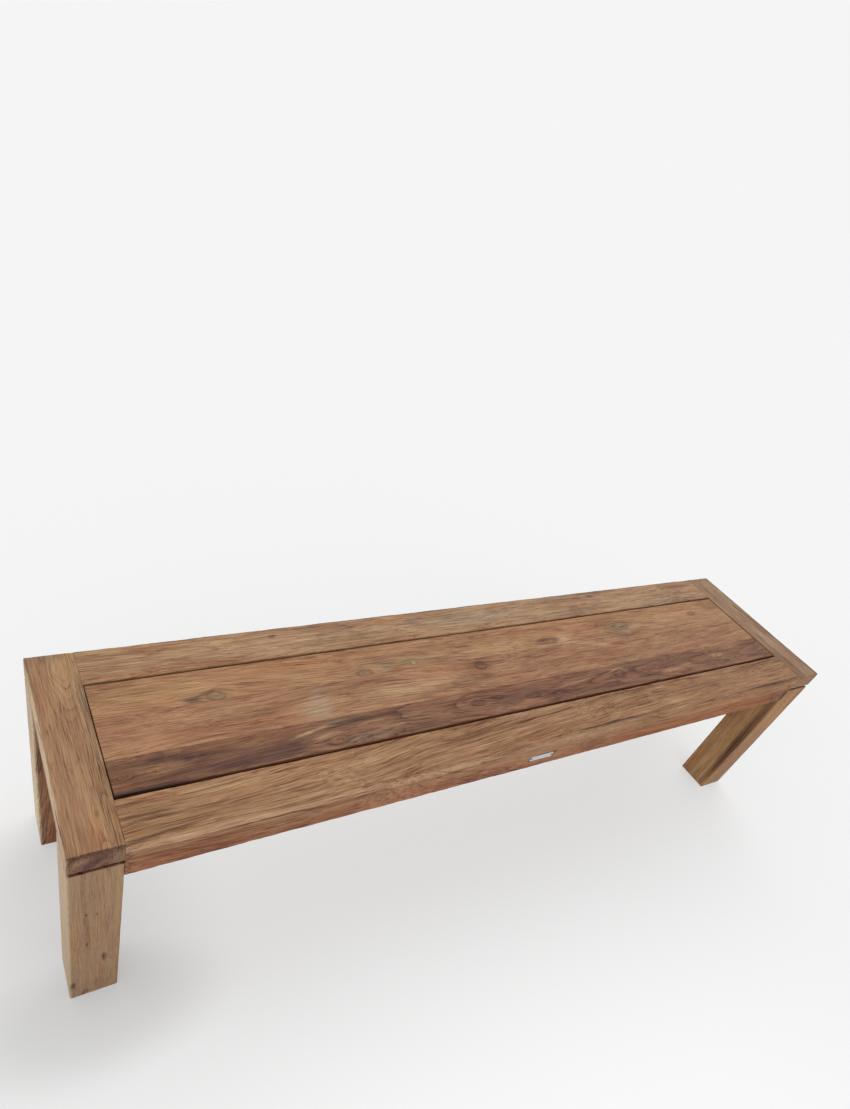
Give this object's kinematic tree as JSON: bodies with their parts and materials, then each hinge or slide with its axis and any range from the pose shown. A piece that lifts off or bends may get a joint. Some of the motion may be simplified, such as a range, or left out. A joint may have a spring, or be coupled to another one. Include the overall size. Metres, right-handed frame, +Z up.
{
  "type": "backless bench",
  "caption": "Long low backless bench in solid reclaimed teak, with square legs, deep side beams, end boards across the legs and a flush seat panel of three glued staves.",
  "frame": {"origin": "on the floor, under the middle of the seat", "axes": "+X along the bench's length, +Y from its front to its back, +Z up"},
  "size_m": [1.8, 0.4, 0.45],
  "materials": {
    "teak_end_board": "sanded reclaimed teak, matt, weathered grey along the edges",
    "teak_end_strip": "sanded reclaimed teak, matt",
    "teak_front_beam": "sanded reclaimed teak with strong long grain, matt",
    "teak_back_beam": "sanded reclaimed teak with grey patches, matt",
    "teak_stave_back": "sanded knotty reclaimed teak, matt",
    "teak_stave_middle": "sanded reclaimed teak, matt",
    "teak_stave_front": "sanded dark purplish-brown reclaimed teak, matt",
    "teak_leg_front": "sanded pale reclaimed teak with old nail holes, matt",
    "teak_leg_back": "sanded reddish reclaimed teak, matt",
    "teak_frame_inside": "planed teak, matt",
    "dowel_wood": "turned hardwood",
    "screw_steel": "stainless steel, satin",
    "label_steel": "brushed stainless steel, blank"
  },
  "bodies": {
    "root": {"end_board_left": "teak_end_board", "end_strip_left": "teak_end_strip", "end_board_right": "teak_end_board", "end_strip_right": "teak_end_strip", "front_beam": "teak_front_beam", "back_beam": "teak_back_beam", "stave_back": "teak_stave_back", "stave_middle": "teak_stave_middle", "stave_front": "teak_stave_front", "batten_1": "teak_frame_inside", "batten_2": "teak_frame_inside", "batten_3": "teak_frame_inside", "batten_4": "teak_frame_inside", "batten_5": "teak_frame_inside", "leg_front_left": "teak_leg_front", "leg_front_right": "teak_leg_front", "leg_back_left": "teak_leg_back", "leg_back_right": "teak_leg_back", "end_rail_left": "teak_frame_inside", "end_rail_right": "teak_frame_inside", "beam_dowels": "dowel_wood", "tenon_pegs": "dowel_wood", "batten_screws": "screw_steel", "rail_screws": "screw_steel", "label_plate": "label_steel", "label_pins": "screw_steel"}
  },
  "joints": []
}
